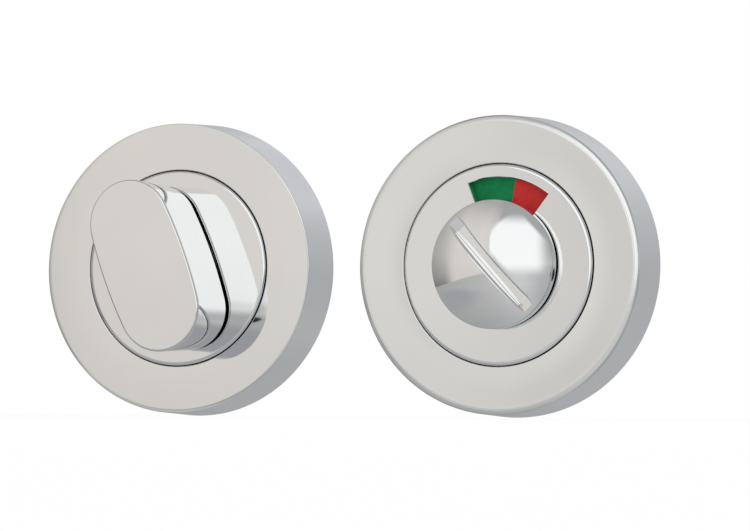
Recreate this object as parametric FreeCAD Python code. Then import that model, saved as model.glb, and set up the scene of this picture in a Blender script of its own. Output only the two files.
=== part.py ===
import FreeCAD, Part
import math
import os

os.makedirs("parts", exist_ok=True)

# A bathroom lock set for one door: a thumb turn on a round rose for the inside,
# and a coin release with a vacant and engaged window on a matching rose for the outside.
# The two halves stand side by side with their backs on one plane, both facing -Y, and +Z is up.
# Sizes are in millimetres. Depths are counted forward from the back plane.

# Rose, shared by both halves
rose_diameter = 52.0
rose_depth = 9.8
cover_wall = 1.75
cover_face = 1.7
cover_step = 0.5
ring_width = 8.64
ring_dish = 0.3
ring_hole_edge = 0.2
turn_cover_draft = 0.42
turn_edge_width = 0.9
turn_edge_drop = 0.1
release_cover_draft = 0.4
release_edge_width = 1.55
release_edge_drop = 0.36
halves_gap = 8.7

# Base plates under the covers
plate_thickness = 3.0
cover_thread_fit = 0.05
fixing_inset = 5.25
bolt_hole_diameter = 4.5
wood_screw_hole = 3.6
wood_screw_head = 7.0
pocket_depth = 1.2
pocket_land = 3.2
pocket_rim = 1.65
pocket_rib = 2.4
pocket_boss = 5.4
screw_head_fit = 0.1

# Centre discs
ring_gap = 0.18
disc_thickness = 1.8
disc_edge_width = 0.75
disc_edge_drop = 0.22
disc_shoulder = 1.6
disc_overhang = 4.8
disc_hub_fit = 0.05
disc_hub_recess = 0.8
hub_wall = 2.0
hub_bottom_depth = 3.4
hub_key_width = 2.4
hub_key_height = 0.7
hub_key_reach = 0.9
hub_key_fit = 0.1

# Spring ring that holds the thumb turn unit in its base plate
snap_ring_width = 1.3
snap_ring_bite = 0.7
snap_ring_back = 1.1
snap_ring_height = 1.0
snap_ring_angle = 16.0
snap_groove_play = 0.1

# Turning stems, bushes, circlips and wave washers
stem_diameter = 11.0
stem_back = 0.7
bush_bore_fit = 0.05
bush_wall = 1.4
bush_proud = 0.7
circlip_groove_depth = 0.4
circlip_width = 2.1
circlip_thickness = 1.0
circlip_play = 0.05
circlip_angle = 34.0
circlip_lug_angle = 9.0
circlip_lug = 2.9
circlip_eye = 1.1
circlip_lug_sink = 0.35
washer_bore_fit = 0.4
washer_width = 2.6
washer_strip = 0.3
washer_room = 0.9
washer_play = 0.1
washer_waves = 3

# Thumb turn
knob_width = 16.26
knob_length = 31.1
knob_side_radius = 80.0
knob_taper = 0.45
knob_reach = 13.1
knob_gap = 0.9
knob_front_edge = 0.7
knob_back_edge = 0.3
knob_angle = -21.6

# Square spindle and its cross pin
spindle_size = 5.0
spindle_reach = 45.0
spindle_engagement = 11.8
spindle_fit = 0.05
spindle_end_room = 0.2
spindle_point = 0.6
spindle_pin_diameter = 2.0
spindle_pin_length = 10.2
spindle_pin_depth = 6.6
spindle_pin_fit = 0.02

# Bolts through the door
bolt_diameter = 4.0
bolt_neck_relief = 0.36
bolt_head_diameter = 7.6
bolt_length = 30.0
bolt_sink = 0.05
bolt_tip = 0.4
bolt_recess_width = 1.2
bolt_recess_length = 4.2
bolt_recess_depth = 1.5

# Threaded posts on the release plate
post_diameter = 7.0
post_reach = 15.0
post_flange_diameter = 8.4
post_flange_height = 1.0
post_hole_diameter = 3.3
post_hole_depth = 13.5

# Coin turn
coin_turn_diameter = 22.0
coin_turn_gap = 0.65
coin_skirt_height = 1.95
coin_dome_rise = 2.5
coin_edge = 0.2
coin_angle = -42.6
slot_width = 2.05
slot_end_margin = 0.8
slot_depth = 2.8
slot_ramp = 0.95
neck_diameter = 12.4
neck_hole_fit = 0.15
stem_flat = 0.8
socket_depth = 9.5

# Indicator wheel and its window
window_outer_margin = 0.4
window_inner_cover = 0.8
window_start_angle = -21.0
window_end_angle = 37.5
wheel_fit = 0.3
wheel_thickness = 0.8
wheel_clearance = 0.2
field_thickness = 0.2
field_inner_margin = 0.7
field_outer_margin = 0.2
colour_change_angle = 10.2
field_angle = 82.0
wheel_bore_fit = 0.05

# Skirt, lugs and screws that fix the release disc to its plate
disc_skirt_wall = 1.3
lug_offset = 1.3
lug_diameter = 5.4
lug_drop = 0.6
disc_screw_diameter = 2.9
disc_screw_hole_fit = 0.05
disc_screw_head = 5.4
disc_screw_sink = 0.05
disc_screw_length = 6.2
disc_screw_end_room = 0.6
disc_screw_recess_width = 0.8
disc_screw_recess_length = 3.2
disc_screw_recess_depth = 0.9

# Boss and bush of the release plate
boss_wall = 2.65
bush_flange_width = 1.05
bush_flange_height = 0.6
bush_flange_play = 0.2
plate_well_play = 0.6
plate_well_depth = 2.7

# How far a cutting shape runs past what it cuts
past = 1.0

rose_radius = rose_diameter / 2
plate_radius = rose_radius - cover_wall
plate_edge = plate_radius - cover_thread_fit
ring_hole_diameter = rose_diameter - 2 * ring_width
ring_back = rose_depth - ring_dish - cover_face
release_x = rose_diameter + halves_gap
fixing_radius = plate_radius - fixing_inset

disc_diameter = ring_hole_diameter - 2 * ring_gap
disc_back = rose_depth - disc_thickness
disc_hub_diameter = disc_diameter - 2 * disc_overhang
disc_shoulder_diameter = disc_hub_diameter + 2 * disc_shoulder
plate_bore_diameter = disc_hub_diameter + 2 * disc_hub_fit
hub_well_diameter = disc_hub_diameter - 2 * hub_wall
pocket_inner = disc_hub_diameter + 2 * pocket_land
pocket_outer = 2 * (plate_edge - pocket_rim)

snap_ring_inside = disc_hub_diameter - 2 * snap_ring_bite
snap_ring_outside = snap_ring_inside + 2 * snap_ring_width
snap_ring_front = snap_ring_back + snap_ring_height

bush_diameter = stem_diameter + 2 * (bush_bore_fit + bush_wall)
bush_bore_radius = stem_diameter / 2 + bush_bore_fit
circlip_groove_diameter = stem_diameter - 2 * circlip_groove_depth
circlip_outside = circlip_groove_diameter + 2 * circlip_width
washer_inside = stem_diameter + 2 * washer_bore_fit
washer_outside = washer_inside + 2 * washer_width

knob_back = rose_depth + knob_gap
knob_front = rose_depth + knob_reach
socket = spindle_size + 2 * spindle_fit
bolt_neck_diameter = bolt_diameter - bolt_neck_relief

coin_radius = coin_turn_diameter / 2
coin_turn_back = rose_depth + coin_turn_gap
coin_skirt_front = coin_turn_back + coin_skirt_height
coin_apex = coin_skirt_front + coin_dome_rise
slot_length = coin_turn_diameter - 2 * slot_end_margin

disc_skirt_inside = disc_diameter - 2 * disc_skirt_wall
wheel_diameter = disc_skirt_inside - 2 * wheel_fit
field_outer_diameter = wheel_diameter - 2 * field_outer_margin
window_outer_diameter = field_outer_diameter - 2 * window_outer_margin
window_inner_diameter = coin_turn_diameter - 2 * window_inner_cover
field_inner_diameter = window_inner_diameter - 2 * field_inner_margin
field_front = disc_back - wheel_clearance
wheel_front = field_front - field_thickness
wheel_back = wheel_front - wheel_thickness
lug_radius = disc_diameter / 2 + lug_offset
lug_front = disc_back - lug_drop
disc_screw_hole = disc_screw_diameter + 2 * disc_screw_hole_fit
boss_diameter = bush_diameter + 2 * boss_wall
bush_flange_front = wheel_back - bush_flange_play
boss_front = bush_flange_front - bush_flange_height
bush_flange_diameter = bush_diameter + 2 * bush_flange_width
plate_well_diameter = washer_outside + 2 * plate_well_play


def at(x, radius, angle, depth):
    """A point at a radius and a clockwise angle from straight up, as seen from in front."""
    turn = math.radians(angle)
    return FreeCAD.Vector(x + radius * math.sin(turn), -depth, radius * math.cos(turn))


def unit(a, b):
    reach = math.hypot(b[0] - a[0], b[1] - a[1])
    return ((b[0] - a[0]) / reach, (b[1] - a[1]) / reach)


def corner(before, here, after, size):
    """Where a rounded corner starts, passes and ends."""
    u = unit(here, before)
    v = unit(here, after)
    half = math.acos(max(-1.0, min(1.0, u[0] * v[0] + u[1] * v[1]))) / 2
    run = size / math.tan(half)
    rise = size / math.sin(half) - size
    middle = unit((0.0, 0.0), (u[0] + v[0], u[1] + v[1]))
    start = (here[0] + u[0] * run, here[1] + u[1] * run)
    end = (here[0] + v[0] * run, here[1] + v[1] * run)
    return start, (here[0] + middle[0] * rise, here[1] + middle[1] * rise), end


def soft_edge(radius, depth, width, drop):
    """A buffed edge as three points: an arc from the side wall that runs out into a flat front."""
    curve = (width ** 2 + drop ** 2) / (2 * drop)
    half = math.atan(drop / width)
    middle = (radius - width + curve * math.sin(half), depth - curve * (1 - math.cos(half)))
    return (radius, depth - drop), middle, (radius - width, depth)


def turned(x, points):
    """A piece turned on a lathe: corners as radius and depth, sharp, rounded or buffed soft."""
    def place(p):
        return FreeCAD.Vector(x + p[0], -p[1], 0)

    ends = []
    for i, p in enumerate(points):
        if isinstance(p[0], tuple):
            ends.append(p)
        elif len(p) == 3:
            before = points[i - 1]
            if isinstance(before[0], tuple):
                before = before[2]
            ends.append(corner(before, p, points[(i + 1) % len(points)], p[2]))
        else:
            ends.append((p, None, p))
    edges = []
    for i, (start, middle, end) in enumerate(ends):
        if middle:
            edges.append(Part.Arc(place(start), place(middle), place(end)).toShape())
        follow = ends[(i + 1) % len(ends)][0]
        edges.append(Part.LineSegment(place(end), place(follow)).toShape())
    face = Part.Face(Part.Wire(edges))
    return face.revolve(FreeCAD.Vector(x, 0, 0), FreeCAD.Vector(0, 1, 0), 360)


def rod(x, z, diameter, back, front):
    base = FreeCAD.Vector(x, -back, z)
    return Part.makeCylinder(diameter / 2, front - back, base, FreeCAD.Vector(0, -1, 0))


def taper(x, z, back_diameter, front_diameter, back, front):
    base = FreeCAD.Vector(x, -back, z)
    forward = FreeCAD.Vector(0, -1, 0)
    return Part.makeCone(back_diameter / 2, front_diameter / 2, front - back, base, forward)


def bar(x, z, width, height, back, front):
    """A straight block centred on x and z."""
    base = FreeCAD.Vector(x - width / 2, -front, z - height / 2)
    return Part.makeBox(width, front - back, height, base)


def turn(shape, x, angle):
    """Turn a shape clockwise about the axis of the rose at x, as seen from in front."""
    shape.rotate(FreeCAD.Vector(x, 0, 0), FreeCAD.Vector(0, 1, 0), angle)
    return shape


def sector(x, inner, outer, start, end, back, front):
    """A curved slice between two diameters and two clockwise angles."""
    middle = (start + end) / 2
    far = Part.Arc(at(x, outer / 2, start, back), at(x, outer / 2, middle, back),
                   at(x, outer / 2, end, back))
    near = Part.Arc(at(x, inner / 2, end, back), at(x, inner / 2, middle, back),
                    at(x, inner / 2, start, back))
    side = Part.LineSegment(at(x, outer / 2, end, back), at(x, inner / 2, end, back))
    close = Part.LineSegment(at(x, inner / 2, start, back), at(x, outer / 2, start, back))
    wire = Part.Wire([far.toShape(), side.toShape(), near.toShape(), close.toShape()])
    return Part.Face(wire).extrude(FreeCAD.Vector(0, back - front, 0))


def rose_cover(x, draft, width, drop):
    """Outer shell of a rose: it screws over the base plate and hides its screws."""
    inner = ring_hole_diameter / 2
    return turned(x, [
        (rose_radius, 0),
        soft_edge(rose_radius - draft, rose_depth, width, drop),
        (inner, rose_depth - ring_dish, ring_hole_edge),
        (inner, ring_back),
        (plate_radius - cover_step, ring_back),
        (plate_radius - cover_step, plate_thickness),
        (plate_radius, plate_thickness),
        (plate_radius, 0),
    ])


def pockets(x):
    """Hollows cast into the back of a base plate, with bosses and ribs left standing."""
    ring = rod(x, 0, pocket_outer, -past, pocket_depth)
    ring = ring.cut(rod(x, 0, pocket_inner, -2 * past, plate_thickness))
    for side in (-1, 1):
        ring = ring.cut(rod(x, side * fixing_radius, 2 * pocket_boss, -2 * past, plate_thickness))
        boss_x = x + side * fixing_radius
        ring = ring.cut(rod(boss_x, 0, 2 * pocket_boss, -2 * past, plate_thickness))
    for angle in (45, 135):
        rib = bar(x, 0, pocket_rib, rose_diameter, -2 * past, plate_thickness)
        ring = ring.cut(turn(rib, x, angle))
    return ring


def sunk_hole(x, z, hole, head, depth, opens_front):
    """A through hole in a plate with a countersink at its front or its back."""
    sink = (head - hole) / 2
    cut = rod(x, z, hole, -past, depth + past)
    if opens_front:
        return cut.fuse(taper(x, z, hole, head + 2 * past, depth - sink, depth + past))
    return cut.fuse(taper(x, z, head + 2 * past, hole, -past, sink))


def grip_outline(inset, depth):
    """Outline of the grip at a depth: long sides that bow outwards a little, and round ends."""
    bow = knob_side_radius - knob_width / 2
    near = knob_side_radius - knob_length / 2
    meet = math.atan((bow ** 2 - near ** 2) / (2 * near * bow))
    meet_x = (knob_side_radius - inset) * math.cos(meet) - bow
    meet_z = (knob_side_radius - inset) * math.sin(meet)
    edges = []
    for side in (1, -1):
        start = FreeCAD.Vector(side * meet_x, -depth, -side * meet_z)
        middle = FreeCAD.Vector(side * (knob_width / 2 - inset), -depth, 0)
        corner_point = FreeCAD.Vector(side * meet_x, -depth, side * meet_z)
        tip = FreeCAD.Vector(0, -depth, side * (knob_length / 2 - inset))
        end = FreeCAD.Vector(-side * meet_x, -depth, side * meet_z)
        edges.append(Part.Arc(start, middle, corner_point).toShape())
        edges.append(Part.Arc(corner_point, tip, end).toShape())
    return Part.Wire(edges)


def key_block(spare):
    """The key under the hub, or with a spare allowance the notch that it sits in."""
    reach = disc_hub_diameter / 2 + hub_key_reach + spare
    back = plate_thickness - hub_key_height - spare
    return bar(0, -reach / 2, hub_key_width + 2 * spare, reach, back, plate_thickness + spare)


def circlip(x, front):
    """Spring clip in the groove of a stem, with two eyes for the pliers."""
    back = front - circlip_thickness
    inside = rod(x, 0, circlip_groove_diameter, back - past, front + past)
    clip = rod(x, 0, circlip_outside, back, front).cut(inside)
    half = circlip_angle / 2
    clip = clip.cut(sector(x, stem_diameter / 2, 2 * circlip_outside, 180 - half, 180 + half,
                           back - past, front + past))
    for side in (-1, 1):
        lug_angle = 180 + side * (half + circlip_lug_angle)
        spot = at(x, circlip_outside / 2 - circlip_lug_sink, lug_angle, 0)
        clip = clip.fuse(rod(spot.x, spot.z, circlip_lug, back, front).cut(inside))
        clip = clip.cut(rod(spot.x, spot.z, circlip_eye, back - past, front + past))
    return clip.removeSplitter()


def wave_washer(x, low, high):
    """Spring washer pressed into waves between two depths."""
    steps = 8 * washer_waves
    swing = (high - low - washer_strip) / 2
    middle = (high + low) / 2
    rings = []
    for i in range(steps):
        angle = 360.0 * i / steps
        wave = middle + swing * math.cos(math.radians(washer_waves * angle))
        rings.append([at(x, width / 2, angle, wave + lift)
                      for lift in (-washer_strip / 2, washer_strip / 2)
                      for width in (washer_inside, washer_outside)])
    faces = []
    for i in range(steps):
        a = rings[i]
        b = rings[(i + 1) % steps]
        for near, far in ((0, 1), (2, 3), (0, 2), (1, 3)):
            for three in ((a[near], a[far], b[far]), (a[near], b[far], b[near])):
                faces.append(Part.Face(Part.makePolygon(list(three) + [three[0]])))
    solid = Part.Solid(Part.makeShell(faces))
    if solid.Volume < 0:
        solid.reverse()
    return solid


def groove(x, front):
    """Material to take off a stem for its circlip."""
    back = front - circlip_thickness - circlip_play
    ring = rod(x, 0, stem_diameter + past, back, front + circlip_play)
    return ring.cut(rod(x, 0, circlip_groove_diameter, back - past, front + past))


def save(shape, name):
    if not shape.isValid() or not shape.Solids:
        raise ValueError(name + " isn't a sound solid")
    if len(shape.Solids) == 1:
        shape = shape.Solids[0]
    shape.exportStep("parts/" + name + ".step")


# Inside half: base plate
turn_plate = turned(0, [
    (plate_bore_diameter / 2, 0),
    (plate_edge, 0),
    (plate_edge, plate_thickness),
    (plate_bore_diameter / 2, plate_thickness),
])
turn_plate = turn_plate.cut(rod(0, 0, snap_ring_outside + 4 * snap_groove_play,
                                snap_ring_back - snap_groove_play,
                                snap_ring_front + snap_groove_play))
turn_plate = turn_plate.cut(pockets(0))
turn_plate = turn_plate.cut(key_block(hub_key_fit))
for side in (-1, 1):
    spot = side * fixing_radius
    turn_plate = turn_plate.cut(sunk_hole(0, spot, bolt_hole_diameter,
                                          bolt_head_diameter + 2 * screw_head_fit,
                                          plate_thickness, True))
    turn_plate = turn_plate.cut(sunk_hole(spot, 0, wood_screw_hole, wood_screw_head,
                                          plate_thickness, True))
save(turn_plate, "turn_base_plate")

# Inside half: rose cover
save(rose_cover(0, turn_cover_draft, turn_edge_width, turn_edge_drop), "turn_rose_cover")

# Inside half: centre disc with the hub that carries the thumb turn
bush_radius = bush_diameter / 2
turn_disc = turned(0, [
    (bush_radius, hub_bottom_depth),
    (bush_radius, rose_depth),
    soft_edge(disc_diameter / 2, rose_depth, disc_edge_width, disc_edge_drop)[::-1],
    (disc_diameter / 2, disc_back),
    (disc_shoulder_diameter / 2, disc_back),
    (disc_shoulder_diameter / 2, plate_thickness),
    (disc_hub_diameter / 2, plate_thickness),
    (disc_hub_diameter / 2, disc_hub_recess),
    (hub_well_diameter / 2, disc_hub_recess),
    (hub_well_diameter / 2, hub_bottom_depth),
])
hub_groove = rod(0, 0, disc_hub_diameter + past, snap_ring_back - snap_groove_play,
                 snap_ring_front + snap_groove_play)
hub_groove = hub_groove.cut(rod(0, 0, snap_ring_inside - 2 * snap_groove_play,
                                0, plate_thickness))
turn_disc = turn_disc.cut(hub_groove)
hub_key = key_block(0).cut(rod(0, 0, disc_hub_diameter - hub_wall / 2, 0, rose_depth))
turn_disc = turn_disc.fuse(hub_key).removeSplitter()
save(turn_disc, "turn_centre_disc")

# Inside half: spring ring in the two grooves
ring = rod(0, 0, snap_ring_outside, snap_ring_back, snap_ring_front)
ring = ring.cut(rod(0, 0, snap_ring_inside, 0, plate_thickness))
ring = ring.cut(sector(0, stem_diameter, rose_diameter, 90 - snap_ring_angle / 2,
                       90 + snap_ring_angle / 2, 0, plate_thickness))
save(ring, "turn_snap_ring")

# Inside half: bush pressed into the hub, standing proud as a thrust face for the knob
turn_bush = turned(0, [
    (bush_bore_radius, hub_bottom_depth),
    (bush_radius, hub_bottom_depth),
    (bush_radius, rose_depth + bush_proud),
    (bush_bore_radius, rose_depth + bush_proud),
])
save(turn_bush, "turn_bush")

# Inside half: wave washer and circlip behind the hub
turn_clip_front = hub_bottom_depth - washer_room
save(wave_washer(0, turn_clip_front + washer_play, hub_bottom_depth - washer_play),
     "turn_wave_washer")
save(turn(circlip(0, turn_clip_front), 0, knob_angle), "turn_circlip")

# Inside half: thumb turn with its stem, square socket and pin hole
outlines = [grip_outline(knob_taper, knob_back), grip_outline(0, knob_front)]
grip = Part.makeLoft(outlines, True, True)
for depth, size in ((knob_front, knob_front_edge), (knob_back, knob_back_edge)):
    rims = []
    for e in grip.Edges:
        level = e.BoundBox
        if level.YMax - level.YMin < 0.01 and abs(level.YMin + depth) < 0.01:
            rims.append(e)
    grip = grip.makeFillet(size, rims)
knob = grip.fuse(rod(0, 0, stem_diameter, stem_back, knob_back + knob_back_edge))
knob = knob.cut(groove(0, turn_clip_front))
spindle_seat = stem_back + spindle_engagement
knob = knob.cut(bar(0, 0, socket, socket, stem_back - past, spindle_seat))
pin_hole = Part.makeCylinder(spindle_pin_diameter / 2 + spindle_pin_fit, 2 * stem_diameter,
                             FreeCAD.Vector(-stem_diameter, -spindle_pin_depth, 0),
                             FreeCAD.Vector(1, 0, 0))
knob = knob.cut(pin_hole)
save(turn(knob, 0, knob_angle), "thumb_turn_knob")

# Inside half: square spindle, pointed at its free end, and the pin across it
spindle = bar(0, 0, spindle_size, spindle_size, -spindle_reach,
              spindle_seat - spindle_end_room)
tips = [e for e in spindle.Edges if abs(e.BoundBox.YMin - spindle_reach) < 0.01]
spindle = spindle.makeChamfer(spindle_point, tips)
spindle = spindle.cut(pin_hole)
save(turn(spindle, 0, knob_angle), "spindle")
pin = Part.makeCylinder(spindle_pin_diameter / 2, spindle_pin_length,
                        FreeCAD.Vector(-spindle_pin_length / 2, -spindle_pin_depth, 0),
                        FreeCAD.Vector(1, 0, 0))
save(turn(pin, 0, knob_angle), "spindle_pin")

# Inside half: two bolts that go through the door into the posts of the outside half
head_front = plate_thickness - bolt_sink
head_back = head_front - (bolt_head_diameter - bolt_neck_diameter) / 2
tip = head_front - bolt_length
bolts = []
for side in (-1, 1):
    z = side * fixing_radius
    bolt = taper(0, z, bolt_neck_diameter, bolt_head_diameter, head_back, head_front)
    bolt = bolt.fuse(rod(0, z, bolt_neck_diameter, 0, head_back))
    bolt = bolt.fuse(rod(0, z, bolt_diameter, tip + bolt_tip, 0))
    bolt = bolt.fuse(taper(0, z, bolt_diameter - 2 * bolt_tip, bolt_diameter,
                           tip, tip + bolt_tip))
    recess = bar(0, z, bolt_recess_width, bolt_recess_length,
                 head_front - bolt_recess_depth, head_front + past)
    recess = recess.fuse(bar(0, z, bolt_recess_length, bolt_recess_width,
                             head_front - bolt_recess_depth, head_front + past))
    bolts.append(bolt.cut(recess).removeSplitter())
save(Part.makeCompound(bolts), "door_bolts")

# Outside half: base plate with the boss that carries the coin turn
release_plate = turned(release_x, [
    (bush_radius, plate_well_depth),
    (plate_well_diameter / 2, plate_well_depth),
    (plate_well_diameter / 2, 0),
    (plate_edge, 0),
    (plate_edge, plate_thickness),
    (boss_diameter / 2, plate_thickness),
    (boss_diameter / 2, boss_front),
    (bush_radius, boss_front),
])
release_plate = release_plate.cut(pockets(release_x))
for side in (-1, 1):
    z = side * fixing_radius
    release_plate = release_plate.cut(rod(release_x, z, post_diameter, -past,
                                          plate_thickness + past))
    release_plate = release_plate.cut(rod(release_x, z, post_flange_diameter,
                                          plate_thickness - post_flange_height,
                                          plate_thickness + past))
    release_plate = release_plate.cut(sunk_hole(release_x + side * lug_radius, 0,
                                                disc_screw_hole,
                                                disc_screw_head + 2 * screw_head_fit,
                                                plate_thickness, False))
save(release_plate, "release_base_plate")

# Outside half: threaded posts, riveted into the plate from its front
posts = []
for side in (-1, 1):
    z = side * fixing_radius
    post = rod(release_x, z, post_diameter, -post_reach, plate_thickness)
    post = post.fuse(rod(release_x, z, post_flange_diameter,
                         plate_thickness - post_flange_height, plate_thickness))
    post = post.removeSplitter()
    post = post.cut(rod(release_x, z, post_hole_diameter, -post_reach - past,
                        -post_reach + post_hole_depth))
    posts.append(post)
save(Part.makeCompound(posts), "release_posts")

# Outside half: rose cover
release_cover = rose_cover(release_x, release_cover_draft, release_edge_width, release_edge_drop)
save(release_cover, "release_rose_cover")

# Outside half: centre disc with the window over the indicator wheel
neck_hole = neck_diameter / 2 + neck_hole_fit
release_disc = turned(release_x, [
    (neck_hole, disc_back),
    (neck_hole, rose_depth),
    soft_edge(disc_diameter / 2, rose_depth, disc_edge_width, disc_edge_drop)[::-1],
    (disc_diameter / 2, plate_thickness),
    (disc_skirt_inside / 2, plate_thickness),
    (disc_skirt_inside / 2, disc_back),
])
for side in (-1, 1):
    lug = rod(release_x + side * lug_radius, 0, lug_diameter, plate_thickness, lug_front)
    lug = lug.cut(rod(release_x, 0, disc_skirt_inside, 0, disc_back))
    release_disc = release_disc.fuse(lug)
release_disc = release_disc.removeSplitter()
for side in (-1, 1):
    release_disc = release_disc.cut(rod(release_x + side * lug_radius, 0, disc_screw_hole, 0,
                                        disc_screw_length + disc_screw_end_room))
release_disc = release_disc.cut(sector(release_x, window_inner_diameter, window_outer_diameter,
                                       window_start_angle, window_end_angle,
                                       disc_back - past, rose_depth + past))
save(release_disc, "release_centre_disc")

# Outside half: two screws from behind that hold the disc on the plate
disc_screws = []
neck = disc_screw_sink + (disc_screw_head - disc_screw_diameter) / 2
for side in (-1, 1):
    x = release_x + side * lug_radius
    screw = taper(x, 0, disc_screw_head, disc_screw_diameter, disc_screw_sink, neck)
    screw = screw.fuse(rod(x, 0, disc_screw_diameter, neck, disc_screw_length))
    recess = bar(x, 0, disc_screw_recess_width, disc_screw_recess_length, -past,
                 disc_screw_recess_depth)
    recess = recess.fuse(bar(x, 0, disc_screw_recess_length, disc_screw_recess_width, -past,
                             disc_screw_recess_depth))
    disc_screws.append(screw.cut(recess).removeSplitter())
save(Part.makeCompound(disc_screws), "release_disc_screws")

# Outside half: indicator wheel on the flats of the stem, with its two coloured fields
flat_across = stem_diameter - 2 * stem_flat
wheel = rod(release_x, 0, wheel_diameter, wheel_back, wheel_front)
hole = rod(release_x, 0, stem_diameter + 2 * wheel_bore_fit, wheel_back - past, wheel_front + past)
flats = bar(release_x, 0, flat_across + 2 * wheel_bore_fit, 2 * stem_diameter,
            wheel_back - past, wheel_front + past)
wheel = wheel.cut(hole.common(flats))
change = colour_change_angle - coin_angle
save(turn(wheel, release_x, coin_angle), "indicator_wheel")
green = sector(release_x, field_inner_diameter, field_outer_diameter,
               change - field_angle, change, wheel_front, field_front)
save(turn(green, release_x, coin_angle), "green_field")
red = sector(release_x, field_inner_diameter, field_outer_diameter,
             change, change + field_angle, wheel_front, field_front)
save(turn(red, release_x, coin_angle), "red_field")

# Outside half: bush pressed into the boss, its flange under the wheel
release_bush = turned(release_x, [
    (bush_bore_radius, plate_well_depth),
    (bush_radius, plate_well_depth),
    (bush_radius, boss_front),
    (bush_flange_diameter / 2, boss_front),
    (bush_flange_diameter / 2, bush_flange_front),
    (bush_bore_radius, bush_flange_front),
])
save(release_bush, "release_bush")

# Outside half: wave washer and circlip in the well of the plate
release_clip_front = plate_well_depth - washer_room
save(wave_washer(release_x, release_clip_front + washer_play, plate_well_depth - washer_play),
     "release_wave_washer")
release_clip = circlip(release_x, release_clip_front)
save(turn(release_clip, release_x, coin_angle), "release_circlip")

# Outside half: coin turn, a low dome on a short skirt with a stem behind it
dome_radius = (coin_radius ** 2 + coin_dome_rise ** 2) / (2 * coin_dome_rise)
dome_centre = coin_apex - dome_radius
ball = Part.makeSphere(dome_radius, FreeCAD.Vector(release_x, -dome_centre, 0),
                       FreeCAD.Vector(0, -1, 0))
head = rod(release_x, 0, coin_turn_diameter, coin_turn_back, coin_apex + past).common(ball)
shoulder = []
for e in head.Edges:
    level = e.BoundBox
    if abs(level.YMin + coin_skirt_front) < 0.02 and abs(level.YMax + coin_skirt_front) < 0.02:
        shoulder.append(e)
head = head.makeFillet(coin_edge, shoulder)


def slot_cutter():
    """A slot with a flat floor and a short ramp up to the dome at each end."""
    def spot(along, level):
        return FreeCAD.Vector(release_x - slot_width / 2, -level, along)

    half = slot_length / 2
    flat = half - slot_ramp
    low = coin_apex - slot_depth
    high = dome_centre + math.sqrt(dome_radius ** 2 - half ** 2)
    top = coin_apex + past
    path = [spot(-flat, low), spot(flat, low), spot(half, high), spot(half, top),
            spot(-half, top), spot(-half, high), spot(-flat, low)]
    return Part.Face(Part.makePolygon(path)).extrude(FreeCAD.Vector(slot_width, 0, 0))


head = head.cut(slot_cutter())
stem = rod(release_x, 0, stem_diameter, stem_back, wheel_front + wheel_thickness / 2)
stem = stem.common(bar(release_x, 0, flat_across, 2 * stem_diameter, 0, rose_depth))
stem = stem.cut(groove(release_x, release_clip_front))
neck = rod(release_x, 0, neck_diameter, wheel_front, coin_turn_back + coin_edge)
coin_turn = head.fuse(neck).fuse(stem)
coin_turn = coin_turn.cut(bar(release_x, 0, socket, socket, stem_back - past,
                              stem_back + socket_depth))
save(turn(coin_turn.removeSplitter(), release_x, coin_angle), "coin_turn")
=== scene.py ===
import bpy
import math
from mathutils import Matrix, Vector
from mathutils.geometry import tessellate_polygon


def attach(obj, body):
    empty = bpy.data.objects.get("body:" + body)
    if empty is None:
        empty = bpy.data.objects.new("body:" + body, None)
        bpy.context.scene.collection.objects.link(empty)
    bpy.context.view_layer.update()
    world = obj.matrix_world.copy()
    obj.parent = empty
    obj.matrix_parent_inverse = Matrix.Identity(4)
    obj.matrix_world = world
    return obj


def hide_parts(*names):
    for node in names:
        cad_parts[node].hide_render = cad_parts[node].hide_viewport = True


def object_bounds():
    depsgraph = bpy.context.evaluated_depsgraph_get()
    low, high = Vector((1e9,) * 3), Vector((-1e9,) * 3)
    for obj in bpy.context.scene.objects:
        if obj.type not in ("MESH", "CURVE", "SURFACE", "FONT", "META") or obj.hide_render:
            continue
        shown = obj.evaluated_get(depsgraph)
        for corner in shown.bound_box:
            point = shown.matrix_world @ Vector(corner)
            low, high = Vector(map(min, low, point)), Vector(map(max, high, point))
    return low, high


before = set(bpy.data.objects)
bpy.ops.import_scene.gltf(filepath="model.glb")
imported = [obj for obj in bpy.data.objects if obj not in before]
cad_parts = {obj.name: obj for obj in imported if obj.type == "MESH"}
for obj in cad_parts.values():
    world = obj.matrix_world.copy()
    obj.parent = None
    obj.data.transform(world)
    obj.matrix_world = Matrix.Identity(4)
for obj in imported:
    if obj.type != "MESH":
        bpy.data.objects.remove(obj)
cad_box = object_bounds()
scene = bpy.context.scene
scene.view_settings.view_transform = "Standard"

# The camera stands to the right of both roses and a little below their middle,
# a long way off with a long lens, so that the two discs keep almost the same ellipse.
camera_data = bpy.data.cameras.new("camera")
camera_data.lens = 180.12
camera_data.sensor_width = 36.0
camera_data.sensor_fit = "HORIZONTAL"
camera_data.clip_start = 0.01
camera_data.clip_end = 20.0
camera = bpy.data.objects.new("camera", camera_data)
scene.collection.objects.link(camera)
scene.camera = camera
side, lift, roll = math.radians(23.182), math.radians(-2.276), math.radians(0.361)
aim, distance = Vector((0.033904, 0.0, 0.000514)), 0.6583
back = Vector((math.sin(side) * math.cos(lift), -math.cos(side) * math.cos(lift), math.sin(lift)))
level = Vector((math.cos(side), math.sin(side), 0.0))
upright = back.cross(level)
right = math.cos(roll) * level + math.sin(roll) * upright
up = math.cos(roll) * upright - math.sin(roll) * level
stand = aim + distance * back
camera.matrix_world = Matrix((
    (right.x, up.x, back.x, stand.x),
    (right.y, up.y, back.y, stand.y),
    (right.z, up.z, back.z, stand.z),
    (0.0, 0.0, 0.0, 1.0)))


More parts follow.
